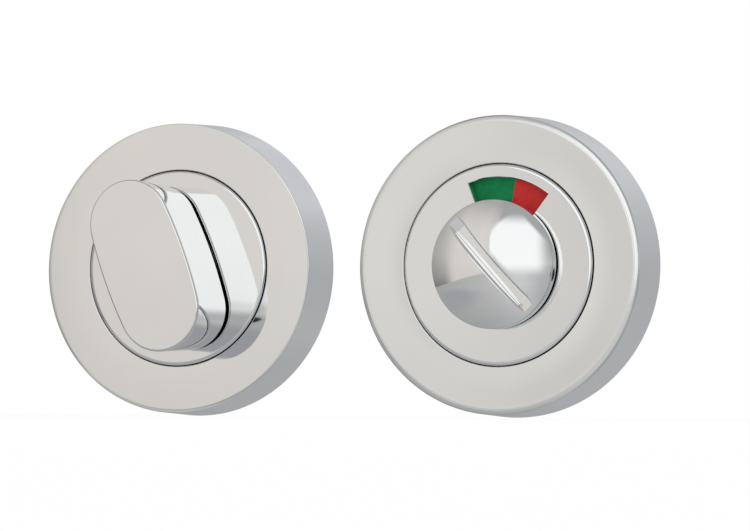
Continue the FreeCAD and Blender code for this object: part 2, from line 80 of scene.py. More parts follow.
# The studio is a plain white room: a world at a plain level lights whatever is matt,
# and the camera and polished metal both see that world as white.
def added(tree, kind, inputs=(), operation=None):
    """A new shader node with its inputs joined or set, by their order or by their names."""
    made = tree.nodes.new("ShaderNode" + kind)
    if operation:
        made.operation = operation
    for socket, value in (inputs.items() if isinstance(inputs, dict) else enumerate(inputs)):
        if isinstance(value, bpy.types.NodeSocket):
            tree.links.new(value, made.inputs[socket])
        else:
            made.inputs[socket].default_value = value
    return made


def worked(tree, operation, first, second):
    return added(tree, "Math", (first, second), operation).outputs[0]


world = bpy.data.worlds.new("room")
scene.world = world
world.use_nodes = True
room = world.node_tree
room.nodes.clear()
plain = added(room, "Background", ((0.985, 0.99, 1.0, 1.0),)).outputs[0]
white = added(room, "Background", ((1.0, 1.0, 1.0, 1.0),)).outputs[0]
path = added(room, "LightPath").outputs
seen = worked(room, "MAXIMUM", path["Is Camera Ray"], path["Is Glossy Ray"])
seen = worked(room, "MAXIMUM", seen, path["Is Transmission Ray"])
added(room, "OutputWorld", (added(room, "MixShader", (seen, plain, white)).outputs[0],))


def studio_piece(name, spots, panels, casts_light, cloth=()):
    """A surface of the studio that polished metal mirrors and the camera never sees."""
    mesh = bpy.data.meshes.new(name)
    mesh.from_pydata(spots, [], panels)
    piece = bpy.data.objects.new(name, mesh)
    scene.collection.objects.link(piece)
    piece.visible_camera = False
    piece.visible_shadow = False
    piece.visible_diffuse = casts_light
    if cloth:
        uv = mesh.uv_layers.new(name="cloth")
        for corner in mesh.loops:
            uv.data[corner.index].uv = cloth[corner.vertex_index]
    paint = bpy.data.materials.new(name)
    paint.use_nodes = True
    paint.node_tree.nodes.clear()
    mesh.materials.append(paint)
    return paint.node_tree


def ramp(tree, value, stops, tint=(1.0, 1.0, 1.0)):
    """Colours along a value, as stops with a place and a grey level or a colour."""
    tone = added(tree, "ValToRGB", (value,))
    tone.color_ramp.interpolation = "B_SPLINE" if len(stops) > 3 else "LINEAR"
    bar = tone.color_ramp.elements
    while len(bar) < len(stops):
        bar.new(0.5)
    for stop, (place, color) in zip(bar, stops):
        color = color if isinstance(color, tuple) else (color,) * 3
        stop.position = place
        stop.color = (*(part * share for part, share in zip(color, tint)), 1.0)
    return tone.outputs["Color"]


def glow(tree, color, strength=1.0):
    color = (*color, 1.0) if isinstance(color, tuple) else color
    return added(tree, "Emission", (color, strength)).outputs[0]


def blend(tree, share, first, second, way="MIX"):
    mix = tree.nodes.new("ShaderNodeMix")
    mix.data_type = "RGBA"
    mix.blend_type = way
    if isinstance(share, float):
        mix.inputs["Factor"].default_value = share
    else:
        tree.links.new(share, mix.inputs["Factor"])
    tree.links.new(first, mix.inputs["A"])
    tree.links.new(second, mix.inputs["B"])
    return mix.outputs["Result"]


def position(tree, kind="Object"):
    """The place on a studio piece, split into its coordinates."""
    return added(tree, "SeparateXYZ", (added(tree, "TexCoord").outputs[kind],)).outputs


def spread(tree, value, low, high, smooth=False):
    """Stretch a value so that low becomes 0 and high becomes 1."""
    ends = (low, high, 0.0, 1.0) if low < high else (high, low, 1.0, 0.0)
    fit = added(tree, "MapRange", (value, *ends))
    if smooth:
        fit.interpolation_type = "SMOOTHSTEP"
    return fit.outputs["Result"]


# A grey fabric tent stands all round the studio, table height and below too. It is paler behind
# the part and overhead in front is dark, and its low part brightens towards the lamp.
tent_reach, tent_middle = 3.0, 0.03
rows, columns = 24, 48
spots, panels = [], []
for i in range(rows + 1):
    height = math.pi * (i / rows - 0.5)
    for j in range(columns):
        around = 2 * math.pi * j / columns
        spots.append((tent_middle + tent_reach * math.cos(height) * math.sin(around),
                      -tent_reach * math.cos(height) * math.cos(around),
                      tent_reach * math.sin(height)))
for i in range(rows):
    for j in range(columns):
        k = (j + 1) % columns
        panels.append((i * columns + j, i * columns + k, (i + 1) * columns + k,
                       (i + 1) * columns + j))
tree = studio_piece("tent", spots, panels, False)
parts = position(tree)
behind = ramp(tree, spread(tree, parts["Z"], -1.5, 1.8), (
    (0.00, 0.390), (0.10, 0.445), (0.16, 0.445), (0.25, 0.430), (0.37, 0.420), (0.49, 0.435),
    (0.61, 0.475), (0.71, 0.515), (0.78, 0.580), (0.82, 0.625), (0.86, 0.620), (1.00, 0.560)),
    (1.0, 1.025, 1.06))
leftward = ramp(tree, spread(tree, parts["X"], -3.0, 0.0), ((0.0, 0.66), (1.0, 1.0)))
behind = blend(tree, spread(tree, parts["Z"], -0.35, 0.1),
               blend(tree, 1.0, behind, leftward, "MULTIPLY"), behind)
overhead = ramp(tree, spread(tree, parts["Z"], 0.0, 3.0), (
    (0.0, 0.58), (0.10, 0.50), (0.25, (0.40, 0.405, 0.41)), (0.50, (0.40, 0.405, 0.41)),
    (0.66, 0.42), (0.85, (0.36, 0.36, 0.365)), (1.0, (0.48, 0.485, 0.50))))
across = ramp(tree, spread(tree, parts["X"], -2.8, 2.8), (
    (0.0, (0.37, 0.375, 0.38)), (0.125, (0.455, 0.46, 0.46)), (0.28, 0.505),
    (0.42, (0.57, 0.575, 0.58)), (0.54, (0.645, 0.65, 0.66)), (0.62, (0.61, 0.615, 0.625)),
    (0.71, (0.47, 0.475, 0.485)), (1.0, (0.36, 0.365, 0.375))))
down = ramp(tree, spread(tree, parts["Z"], -3.0, 0.0), (
    (0.0, (0.62, 0.63, 0.65)), (0.36, (0.78, 0.785, 0.80)), (0.50, (0.87, 0.875, 0.88)),
    (0.66, 0.93), (0.76, 1.0), (0.90, 1.12), (1.0, 1.25)))
ahead = blend(tree, spread(tree, parts["Z"], -0.05, 0.15),
              blend(tree, 1.0, across, down, "MULTIPLY"), overhead)
fabric = blend(tree, spread(tree, parts["Y"], -0.9, 0.6), ahead, behind)
added(tree, "OutputMaterial", (glow(tree, fabric),))


# A warm white card stands close on the left, square to the roses. Every flat face mirrors it.
# It loses light towards its near edge, its top and its foot, and its far edge runs out softly.
def shown(tree, share, light):
    """Let light through a share of a sheet and leave the rest of it clear."""
    clear = added(tree, "BsdfTransparent").outputs[0]
    mix = added(tree, "MixShader", (share, clear, light))
    added(tree, "OutputMaterial", (mix.outputs[0],))


def away(tree, place, centre, kept=(1.0, 1.0, 1.0)):
    """How far a place lies from a centre, in the directions that are kept."""
    offset = added(tree, "VectorMath", (place, centre), "SUBTRACT").outputs[0]
    offset = added(tree, "VectorMath", (offset, kept), "MULTIPLY").outputs[0]
    return added(tree, "VectorMath", (offset,), "LENGTH").outputs["Value"]


release_x = 60.7
release_middle = (release_x * 0.001, 0.0, 0.0)
card_x, card_foot, card_top = -0.085, -0.03, 0.70
card_near, card_far = -0.02, -0.56
tree = studio_piece("left_card", [(card_x, card_near, card_foot), (card_x, card_far, card_foot),
                                  (card_x, card_far, card_top), (card_x, card_near, card_top)],
                    [(0, 1, 2, 3)], True)
parts = position(tree)
along = ramp(tree, spread(tree, parts["Y"], 0.0, -0.60), (
    (0.0, (0.340, 0.337, 0.327)), (0.05, (0.360, 0.352, 0.342)), (0.10, (0.430, 0.421, 0.406)),
    (0.15, (0.535, 0.520, 0.495)), (0.195, (0.670, 0.649, 0.614)), (0.24, (0.730, 0.706, 0.665)),
    (0.33, (0.725, 0.702, 0.668)), (0.42, (0.735, 0.716, 0.683)), (0.50, (0.752, 0.737, 0.709)),
    (0.58, (0.738, 0.724, 0.698)), (0.65, (0.713, 0.700, 0.674)), (0.72, (0.680, 0.667, 0.643)),
    (0.79, (0.652, 0.640, 0.619)), (1.0, (0.700, 0.689, 0.673))))
upward = ramp(tree, spread(tree, parts["Z"], card_foot, 0.12), (
    (0.0, 0.93), (0.10, 0.955), (0.20, 0.98), (0.30, 1.005), (0.42, 1.045), (0.54, 1.09),
    (0.66, 1.11), (1.0, 1.11)))
reach = away(tree, added(tree, "TexCoord").outputs["Object"], release_middle, (1.0, 1.0, 0.0))
top = ramp(tree, spread(tree, worked(tree, "DIVIDE", parts["Z"], reach), 0.3, 1.1), (
    (0.0, 1.0), (0.18, 0.99), (0.34, (0.94, 0.94, 0.945)), (0.50, (0.86, 0.86, 0.87)),
    (0.68, (0.76, 0.76, 0.77)), (1.0, (0.55, 0.55, 0.56))))
foot = ramp(tree, spread(tree, parts["Z"], card_foot, 0.03), (
    (0.0, (0.45, 0.45, 0.46)), (0.16, (0.66, 0.66, 0.67)), (0.40, (0.78, 0.78, 0.785)),
    (0.70, 0.91), (1.0, 1.0)))
whole = added(tree, "RGB").outputs[0]
whole.default_value = (1.0, 1.0, 1.0, 1.0)
foot = blend(tree, spread(tree, parts["Y"], -0.13, -0.09, True), whole, foot)
color = blend(tree, 1.0, blend(tree, 1.0, along, upward, "MULTIPLY"), top, "MULTIPLY")
shown(tree, spread(tree, parts["Y"], -0.55, -0.49, True),
      glow(tree, blend(tree, 1.0, color, foot, "MULTIPLY")))


# A large soft lamp with round left corners stands in front on the right, with a round black
# flag at its lower outer corner. Both are placed by the azimuth from the front and the height
# angle, seen from the coin turn.
def aimed(azimuth, height, distance):
    a, h = math.radians(azimuth), math.radians(height)
    return (release_middle[0] + distance * math.sin(a) * math.cos(h),
            -0.01 - distance * math.cos(a) * math.cos(h),
            distance * math.sin(h))


def aimed_sheet(name, left, right, low, high, distance, casts_light):
    """A sheet facing the part, made of strips so that angles run evenly over it."""
    spots, panels, cloth = [], [], []
    steps = 12
    for i in range(steps + 1):
        for j in range(steps + 1):
            spots.append(aimed(left + (right - left) * j / steps, low + (high - low) * i / steps,
                               distance))
            cloth.append((j / steps, i / steps))
    for i in range(steps):
        for j in range(steps):
            k = i * (steps + 1) + j
            panels.append((k, k + 1, k + steps + 2, k + steps + 1))
    return studio_piece(name, spots, panels, casts_light, cloth)


tree = aimed_sheet("soft_lamp", -24, 31, -9, 43.75, 0.45, True)
parts = position(tree, "UV")
upper, lower = (spread(tree, parts["Y"], *ends) for ends in ((0.52, 1.02), (0.60, -0.12)))
corner = added(tree, "CombineXYZ", (spread(tree, parts["X"], 0.50, 0.0), upper, lower)).outputs[0]
share = spread(tree, away(tree, corner, (0.0, 0.0, 0.0)), 1.0, 0.82, True)
slant = worked(tree, "ADD", parts["X"], parts["Y"])
for value, start, end in ((parts["X"], 1.0, 0.76), (parts["Y"], 0.0, 0.22),
                          (parts["Y"], 1.0, 0.765), (slant, 1.54, 1.45), (slant, 0.40, 0.54)):
    share = worked(tree, "MULTIPLY", share, spread(tree, value, start, end, True))
shown(tree, share, glow(tree, (0.975, 0.992, 1.0), 1.05))
tree = aimed_sheet("black_flag", 29, 41, -13, -1, 0.9, False)
reach = away(tree, added(tree, "TexCoord").outputs["UV"], (0.5, 0.5, 0.0))
shown(tree, spread(tree, reach, 0.5, 0.42, True), glow(tree, (0.012, 0.012, 0.012)))

# A soft grey patch lies in front of the thumb turn: a painted shadow that stands for the grip's
# own shade on the table. Only the lower end of the grip mirrors it.
table_level = cad_box[0][2] - 0.00005
x, y, z = 0.004, -0.048, table_level + 0.0001
half = 0.04
tree = studio_piece("grip_shade", [(x - half, y - half, z), (x + half, y - half, z),
                                   (x + half, y + half, z), (x - half, y + half, z)],
                    [(0, 1, 2, 3)], False)
reach = away(tree, added(tree, "TexCoord").outputs["Object"], (x, y, z))
# The painted shadow is a grey glow that fades out towards its edge.
shown(tree, spread(tree, reach, 0.038, 0.012, True), glow(tree, (0.36, 0.37, 0.39)))

# The floor is a white table top that keeps the object's shadow. Polished metal doesn't mirror
# it: what the metal sees below is the low part of the tent.
half = 3.0
floor_mesh = bpy.data.meshes.new("floor")
floor_mesh.from_pydata([(-half, -half, table_level), (half, -half, table_level),
                        (half, half, table_level), (-half, half, table_level)],
                       [], [(0, 1, 2, 3)])
floor = bpy.data.objects.new("floor", floor_mesh)
scene.collection.objects.link(floor)
floor.visible_glossy = False
table = bpy.data.materials.new("table")
table.use_nodes = True
tree = table.node_tree
tree.nodes.clear()
matt = added(tree, "BsdfDiffuse", ((0.99, 0.99, 0.99, 1.0),)).outputs[0]
seen = worked(tree, "MULTIPLY", added(tree, "LightPath").outputs["Is Camera Ray"], 0.85)
kept = added(tree, "MixShader", (seen, matt, glow(tree, (1.0, 1.0, 1.0))))
added(tree, "OutputMaterial", (kept.outputs[0],))
floor_mesh.materials.append(table)


# Base plate of the inside rose: a zinc casting with coring pockets in its back,
# countersunk for two bolts and two wood screws. It is plated but not polished.
def finish(name, color, metallic, roughness):
    """A new surface finish in one colour and one roughness."""
    made = bpy.data.materials.new(name)
    made.use_nodes = True
    shader = made.node_tree.nodes["Principled BSDF"]
    shader.inputs["Base Color"].default_value = (*color, 1.0)
    shader.inputs["Metallic"].default_value = metallic
    shader.inputs["Roughness"].default_value = roughness
    return made


def grain(made, size, detail=3.0, stretch=(1.0, 1.0, 1.0)):
    """A noise over the piece, with the size of its marks in metres."""
    tree = made.node_tree
    place = added(tree, "TexCoord").outputs["Object"]
    scaled = added(tree, "VectorMath", (place, stretch), "MULTIPLY").outputs[0]
    marks = {"Vector": scaled, "Scale": 1.0 / size, "Detail": detail}
    return added(tree, "TexNoise", marks).outputs["Fac"]


def join(made, value, name):
    """Let a value drive one input of the finish."""
    tree = made.node_tree
    tree.links.new(value, tree.nodes["Principled BSDF"].inputs[name])


def vary(made, marks, dark, light):
    """Let the colour run between two shades with the marks."""
    join(made, ramp(made.node_tree, marks, ((0.32, dark), (0.68, light))), "Base Color")


def haze(made, marks, low, high, start=0.3, end=0.7):
    """Let the roughness run between two values with the marks."""
    fit = added(made.node_tree, "MapRange", (marks, start, end, low, high))
    join(made, fit.outputs["Result"], "Roughness")


def relief(made, layers):
    """Lay marks as relief, each with its height in metres."""
    tree = made.node_tree
    normal = tree.nodes["Principled BSDF"].inputs["Normal"]
    for marks, height in layers:
        bump = added(tree, "Bump", {"Distance": height, "Height": marks})
        if normal.is_linked:
            tree.links.new(normal.links[0].from_socket, bump.inputs["Normal"])
        tree.links.new(bump.outputs["Normal"], normal)


def dress(node, look):
    """Put a finish on a solid that shows as it is."""
    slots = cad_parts[node].data.materials
    slots.clear()
    slots.append(look)


zinc = finish("zinc_casting", (0.62, 0.63, 0.65), 1.0, 0.42)
vary(zinc, grain(zinc, 0.006, 5.0), (0.50, 0.515, 0.54), (0.68, 0.69, 0.70))
haze(zinc, grain(zinc, 0.0015), 0.34, 0.52)
relief(zinc, ((grain(zinc, 0.0035, 2.0), 0.00004), (grain(zinc, 0.0004), 0.000012)))
dress("turn_base_plate", zinc)


# Two long machine screws go through the inside plate, the door and the lock case
# into the posts of the outside half. They are bright zinc plated, countersunk and cross-driven.
def fresh_skin():
    """The skin of one piece: its corners, its panels and the way each corner faces."""
    return {"index": {}, "spots": [], "panels": [], "facing": []}


def panel(skin, spots, facing):
    """One panel. Spots and facings are across, depth and height, in millimetres."""
    corners, ways = [], []
    for spot, way in zip(spots, facing):
        key = (round(spot[0], 4), round(spot[1], 4), round(spot[2], 4))
        if key not in skin["index"]:
            skin["index"][key] = len(skin["spots"])
            skin["spots"].append(key)
        corner = skin["index"][key]
        if corner not in corners:
            corners.append(corner)
            ways.append(way)
    if len(corners) > 2:
        skin["panels"].append(corners)
        skin["facing"].extend(ways)


def weave(skin, rows, ways, closed=True):
    """Panels between rows of spots that run clockwise, each row further round the outside."""
    for near, far, near_way, far_way in zip(rows, rows[1:], ways, ways[1:]):
        count = len(near)
        for s in range(count if closed else count - 1):
            t = (s + 1) % count
            panel(skin, (near[s], far[s], far[t], near[t]),
                  (near_way[s], far_way[s], far_way[t], near_way[t]))


def even_angles(count):
    return [2 * math.pi * s / count for s in range(count)]


def circle(radius, depth, angles, x=0.0, z=0.0):
    return [(x + radius * math.sin(a), depth, z + radius * math.cos(a)) for a in angles]


def facing_out(outward, forward, angles):
    long = math.hypot(outward, forward)
    return [(outward / long * math.sin(a), forward / long, outward / long * math.cos(a))
            for a in angles]


def straight(*points):
    """Straight runs of a turned outline, each point a radius and a depth."""
    runs = []
    for (r0, d0), (r1, d1) in zip(points, points[1:]):
        way = (d1 - d0, r0 - r1)
        runs.append([((r0, d0), way), ((r1, d1), way)])
    return runs


def bend(radius, depth, size, start, end, steps=8):
    """A round run about a centre, from one angle to another, 0 being outward and 90 forward."""
    run = []
    for i in range(steps + 1):
        a = math.radians(start + (end - start) * i / steps)
        run.append(((radius + size * math.cos(a), depth + size * math.sin(a)),
                    (math.cos(a), math.sin(a))))
    return [run]


def turned(skin, runs, angles, x=0.0, z=0.0):
    """Add a turned surface to a skin, run by run."""
    for run in runs:
        rows, ways = [], []
        for (radius, depth), (outward, forward) in run:
            rows.append(circle(radius, depth, angles, x, z))
            ways.append(facing_out(outward, forward, angles))
        weave(skin, rows, ways)


def plane(skin, loops, depth, forward):
    """A flat panel with holes, at one depth. Loops hold across and height."""
    flat = [[Vector((p[0], p[1], 0.0)) for p in loop] for loop in loops]
    every = [p for loop in loops for p in loop]
    for three in tessellate_polygon(flat):
        a, b, c = (every[k] for k in three)
        turn = (b[0] - a[0]) * (c[1] - a[1]) - (c[0] - a[0]) * (b[1] - a[1])
        if abs(turn) < 1e-9:
            continue
        if (turn > 0) != (forward > 0):
            b, c = c, b
        panel(skin, [(p[0], depth, p[1]) for p in (a, b, c)], [(0.0, float(forward), 0.0)] * 3)


def cap(skin, ring, forward):
    """A flat panel inside one ring of spots."""
    plane(skin, [[(p[0], p[2]) for p in ring]], ring[0][1], forward)


def place_piece(skin, name, look, body, nodes):
    """Make the piece, put its finish on, and let it ride and stand for its nodes."""
    mesh = bpy.data.meshes.new(name)
    mesh.from_pydata([(x * 0.001, -d * 0.001, z * 0.001) for x, d, z in skin["spots"]], [],
                     skin["panels"])
    mesh.polygons.foreach_set("use_smooth", [True] * len(mesh.polygons))
    mesh.normals_split_custom_set([(x, -d, z) for x, d, z in skin["facing"]])
    mesh.materials.append(look)
    piece = bpy.data.objects.new(name, mesh)
    scene.collection.objects.link(piece)
    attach(piece, body)
    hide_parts(*nodes)
    return piece


def thread(radius, root, start, end, pitch, angles, run_in):
    """Rows of a screw thread between two depths, fading in and out over a run-in."""
    rows, ways = [], []
    steps = int(round(abs(end - start) / pitch * 8))

    def height(depth, a):
        turn = (depth / pitch - a / (2 * math.pi)) % 1.0
        crest = min(1.0, max(0.0, (abs(2 * turn - 1) - 0.12) / 0.70))
        fade = min(1.0, abs(depth - start) / run_in, abs(end - depth) / run_in)
        return radius + (root - radius) * (1 - crest) * max(0.0, fade)

    for i in range(steps + 1):
        depth = start + (end - start) * i / steps
        row, way = [], []
        for a in angles:
            r = height(depth, a)
            slope = (height(depth + 0.02, a) - height(depth - 0.02, a)) / 0.04
            row.append((r * math.sin(a), depth, r * math.cos(a)))
            long = math.hypot(1.0, slope)
            way.append((math.sin(a) / long, -slope / long, math.cos(a) / long))
        rows.append(row)
        ways.append(way)
    return rows, ways


def shifted(rows, x, z):
    return [[(p[0] + x, p[1], p[2] + z) for p in row] for row in rows]


def cross(width, length):
    """Outline of a cross recess, anticlockwise from its upper right."""
    w, l = width / 2, length / 2
    return [(w, l), (-w, l), (-w, w), (-l, w), (-l, -w), (-w, -w), (-w, -l), (w, -l),
            (w, -w), (l, -w), (l, w), (w, w)]


def cross_recess(skin, x, z, rim, face, width, length, depth, forward):
    """The flat of a screw head inside its rim, with a tapered cross recess sunk in it."""
    mouth = [(x + p[0], z + p[1]) for p in cross(width, length)]
    foot = [(x + p[0], z + p[1]) for p in cross(width * 0.55, length * 0.55)]
    plane(skin, [[(p[0], p[2]) for p in rim], mouth], face, forward)
    bottom = face - forward * depth
    for i in range(12):
        j = (i + 1) % 12
        a, b = mouth[i], mouth[j]
        way = (-(b[1] - a[1]), 0.35 * forward * math.hypot(b[0] - a[0], b[1] - a[1]), b[0] - a[0])
        long = math.sqrt(sum(v * v for v in way))
        way = tuple(v / long for v in way)
        four = [(a[0], face, a[1]), (b[0], face, b[1]),
                (foot[j][0], bottom, foot[j][1]), (foot[i][0], bottom, foot[i][1])]
        if forward < 0:
            four.reverse()
        panel(skin, four, [way] * 4)
    plane(skin, [foot], bottom, forward)


fixing_radius, plate_top = 19.0, 3.0
bolt_radius, bolt_root, bolt_neck, bolt_pitch = 2.0, 1.62, 1.82, 0.7
bolt_tip, thread_foot, thread_top, bolt_face = -27.05, -26.6, -1.0, 2.95
steel = finish("plated_steel", (0.72, 0.72, 0.70), 1.0, 0.28)
vary(steel, grain(steel, 0.004, 4.0), (0.60, 0.605, 0.60), (0.76, 0.755, 0.73))
haze(steel, grain(steel, 0.0012), 0.20, 0.34)
relief(steel, ((grain(steel, 0.0006), 0.000006),))
skin = fresh_skin()
angles = even_angles(36)
for side in (-1, 1):
    z = side * fixing_radius
    cap(skin, circle(1.6, bolt_tip, angles, 0, z), -1)
    turned(skin, straight((1.6, bolt_tip), (bolt_neck, thread_foot)), angles, 0, z)
    rows, ways = thread(bolt_radius, bolt_root, thread_foot, thread_top, bolt_pitch, angles, 0.9)
    rows[0] = circle(bolt_neck, thread_foot, angles)
    weave(skin, shifted(rows, 0, z), ways)
    turned(skin, straight((bolt_radius, thread_top), (bolt_radius, -0.1), (bolt_neck, 0.1),
                          (bolt_neck, 0.97), (3.7, 2.85), (3.8, 2.87), (3.76, bolt_face)),
           angles, 0, z)
    cross_recess(skin, 0, z, circle(3.76, bolt_face, angles, 0, z), bolt_face, 1.2, 4.2, 1.5, 1)
place_piece(skin, "door_screws", steel, "door_roses", ["door_bolts"])


# Cover of the inside rose: a deep drawn and turned brass ring, polished and chrome plated,
# that screws over the base plate. Its front dishes a little towards the centre disc.
def buffed(radius, depth, width, drop, corner):
    """Runs of an edge from the side wall over a buffed shoulder that runs out into the front."""
    def shoulder(share):
        spot = (radius - width * (1 - share), depth - drop * share ** 3)
        fall = math.atan(3 * drop / width * share ** 2)
        return spot, (math.sin(fall), math.cos(fall))

    share = 1.0
    for _ in range(30):
        (reach, level), (outward, forward) = shoulder(share)
        share -= (reach + corner * (1 - outward) - radius) / width
    middle = (reach - corner * outward, level - corner * forward)
    meet = math.degrees(math.atan2(forward, outward))
    runs = bend(middle[0], middle[1], corner, 0, meet, 8)
    runs.append([shoulder(share * (1 - i / 36)) for i in range(37)])
    return runs


chrome = finish("polished_chrome", (0.90, 0.90, 0.895), 1.0, 0.045)
vary(chrome, grain(chrome, 0.012, 2.0), (0.888, 0.889, 0.888), (0.908, 0.908, 0.902))
haze(chrome, grain(chrome, 0.004, 4.0), 0.035, 0.06)
relief(chrome, ((grain(chrome, 0.009, 1.0), 0.000016),))
mirror_angles = even_angles(360)
rose_radius, rose_depth, back_edge = 26.0, 9.8, 0.15
hole_radius, hole_edge, hole_bottom = 17.36, 0.2, 7.8
dish_start, ring_dish, dish_lean = 21.5, 0.3, 0.055
bore_radius, thread_radius = 23.75, 24.25


def rose_cover(x, front_radius, width, drop, look, name, node):
    skin = fresh_skin()
    edge = buffed(front_radius, rose_depth, width, drop, 0.16)
    face_start = edge[-1][-1][0]
    face_end = hole_radius + hole_edge
    hole_top = rose_depth - ring_dish - hole_edge
    runs = bend(rose_radius - back_edge, back_edge, back_edge, -90, 0, 5)
    runs += straight((rose_radius, back_edge), edge[0][0][0]) + edge
    face = [(face_start, (0.0, 1.0))]
    for i in range(9):
        share = i / 8
        radius = dish_start - (dish_start - face_end) * share
        fall = ring_dish * (face_start[0] - radius) / (face_start[0] - face_end)
        face.append(((radius, rose_depth - fall), (-dish_lean * share, 1.0)))
    runs.append(face)
    runs += bend(face_end, hole_top, hole_edge, 90, 180, 8)
    runs += straight((hole_radius, hole_top), (hole_radius, hole_bottom),
                     (bore_radius, hole_bottom), (bore_radius, plate_top),
                     (thread_radius, plate_top), (thread_radius, 0.0),
                     (rose_radius - back_edge, 0.0))
    turned(skin, runs, mirror_angles, x)
    place_piece(skin, name, look, "door_roses", [node])


rose_cover(0.0, 25.58, 0.9, 0.06, chrome, "turn_cover_chrome", "turn_rose_cover")

# Centre disc of the inside rose: a turned brass disc with a buffed rim, polished and plated.
# Its hub passes through the base plate, where a key stops it turning and a spring ring holds it.
skin = fresh_skin()
disc_radius, disc_back = 17.18, 8.0
bush_radius, bush_foot = 6.95, 3.4
hub_bore, hub_radius, hub_foot = 10.38, 12.38, 0.8
groove_radius, groove_low, groove_high = 11.58, 1.0, 2.2
seat_radius = 13.98
disc_edge = buffed(disc_radius, rose_depth, 0.75, 0.22, 0.1)
runs = straight((disc_radius, disc_back), disc_edge[0][0][0]) + disc_edge
runs += straight(disc_edge[-1][-1][0], (bush_radius + 0.1, rose_depth),
                 (bush_radius, rose_depth - 0.1), (bush_radius, bush_foot),
                 (hub_bore, bush_foot), (hub_bore, hub_foot), (hub_radius, hub_foot),
                 (hub_radius, groove_low), (groove_radius, groove_low),
                 (groove_radius, groove_high), (hub_radius, groove_high),
                 (hub_radius, plate_top), (seat_radius, plate_top), (seat_radius, disc_back),
                 (disc_radius, disc_back))
turned(skin, runs, mirror_angles)
place_piece(skin, "turn_disc_chrome", chrome, "door_roses",
            ["turn_centre_disc"])

# Spring ring, bush, wave washer and circlip of the inside rose. The ring, washer and clip are
# blackened spring steel, and the bush is black nylon pressed into the hub under the knob.
spring = finish("spring_steel", (0.30, 0.30, 0.32), 1.0, 0.32)
vary(spring, grain(spring, 0.003, 4.0), (0.20, 0.205, 0.225), (0.36, 0.36, 0.37))
haze(spring, grain(spring, 0.0008), 0.26, 0.42)
relief(spring, ((grain(spring, 0.0005), 0.000006),))
nylon = finish("bush_nylon", (0.03, 0.03, 0.03), 0.0, 0.5)
vary(nylon, grain(nylon, 0.002), (0.022, 0.022, 0.023), (0.042, 0.042, 0.044))
haze(nylon, grain(nylon, 0.0007), 0.42, 0.6)
relief(nylon, ((grain(nylon, 0.0003), 0.000008),))
for node, look in (("turn_snap_ring", spring), ("turn_circlip", spring), ("turn_bush", nylon)):
    dress(node, look)


def wave_washer(x, low, high, name, node):
    """A thin spring ring bent into three waves between two depths."""
    skin = fresh_skin()
    angles = even_angles(144)
    rim, bore, strip, waves = 8.5, 5.9, 0.3, 3
    swing, middle, lift = (high - low - strip) / 2, (high + low) / 2, strip / 2

    def ring(radius, lift):
        return [(x + radius * math.sin(a), middle + lift + swing * math.cos(waves * a),
                 radius * math.cos(a)) for a in angles]

    def flat(radius, forward):
        ways = []
        for a in angles:
            slope = -waves * swing * math.sin(waves * a) / radius
            way = Vector((-slope * math.cos(a), 1.0, slope * math.sin(a))).normalized()
            ways.append(tuple(way * forward))
        return ways

    outward, inward = facing_out(1, 0, angles), facing_out(-1, 0, angles)
    weave(skin, [ring(rim, -lift), ring(rim, lift)], [outward, outward])
    weave(skin, [ring(rim, lift), ring(bore, lift)], [flat(rim, 1), flat(bore, 1)])
    weave(skin, [ring(bore, lift), ring(bore, -lift)], [inward, inward])
    weave(skin, [ring(bore, -lift), ring(rim, -lift)], [flat(bore, -1), flat(rim, -1)])
    place_piece(skin, name, spring, "door_roses", [node])


wave_washer(0.0, 2.6, 3.3, "turn_washer_spring", "turn_wave_washer")


# Thumb turn: an oblong grip and a round stem, die cast in one, polished and chrome plated.
# The grip's long sides bow outwards a little, and all its sides draw in towards the door.
# The stem runs in the bush, carries the circlip and takes the square spindle.
def at_angle(points, x, degrees):
    a = math.radians(degrees)
    return [(x + p[0] * math.cos(a) + p[2] * math.sin(a), p[1],
             -p[0] * math.sin(a) + p[2] * math.cos(a)) for p in points]


def turned_to(skin, x, degrees):
    """Turn a whole skin clockwise about the axis of its rose, as seen from in front."""
    skin["spots"] = at_angle(skin["spots"], x, degrees)
    skin["facing"] = at_angle(skin["facing"], 0.0, degrees)


def socket_end(skin, ring, depth, seat, across):
    """The flat end of a stem with its square socket, reached from a ring of spots."""
    count = len(ring)
    mouth = []
    for p in ring:
        reach = across / 2 / max(abs(p[0]), abs(p[2]))
        mouth.append((p[0] * reach, depth, p[2] * reach))
    floor = [(p[0], seat, p[2]) for p in mouth]
    back_way = [(0.0, -1.0, 0.0)] * count
    weave(skin, [mouth, ring], [back_way, back_way])
    for s in range(count):
        t = (s + 1) % count
        a, b = mouth[s], mouth[t]
        if abs(a[0] + b[0]) > abs(a[2] + b[2]):
            way = (-math.copysign(1.0, a[0] + b[0]), 0.0, 0.0)
        else:
            way = (0.0, 0.0, -math.copysign(1.0, a[2] + b[2]))
        panel(skin, (floor[s], mouth[s], mouth[t], floor[t]), [way] * 4)
    plane(skin, [[(p[0], p[2]) for p in floor]], seat, -1)


knob_angle = -21.6
side_bow, grip_half, grip_tip, grip_taper = 80.0, 8.13, 15.55, 0.45
grip_back, grip_face, back_round, front_round = 10.7, 22.9, 0.3, 0.4
stem_radius, clip_radius, stem_end = 5.5, 5.1, 0.7
socket_width = 5.1
bow_centre, tip_reach = side_bow - grip_half, side_bow - grip_tip
end_centre = (bow_centre ** 2 - tip_reach ** 2) / (2 * tip_reach)
end_radius = grip_tip - end_centre
meet = math.atan(end_centre / bow_centre)
outline = []
for i in range(49):
    a = meet - 2 * meet * i / 48
    outline.append((side_bow * math.cos(a) - bow_centre, side_bow * math.sin(a),
                    math.cos(a), math.sin(a)))
for i in range(1, 96):
    a = -meet - (math.pi - 2 * meet) * i / 96
    outline.append((end_radius * math.cos(a), -end_centre + end_radius * math.sin(a),
                    math.cos(a), math.sin(a)))
outline += [(-p[0], -p[1], -p[2], -p[3]) for p in outline]


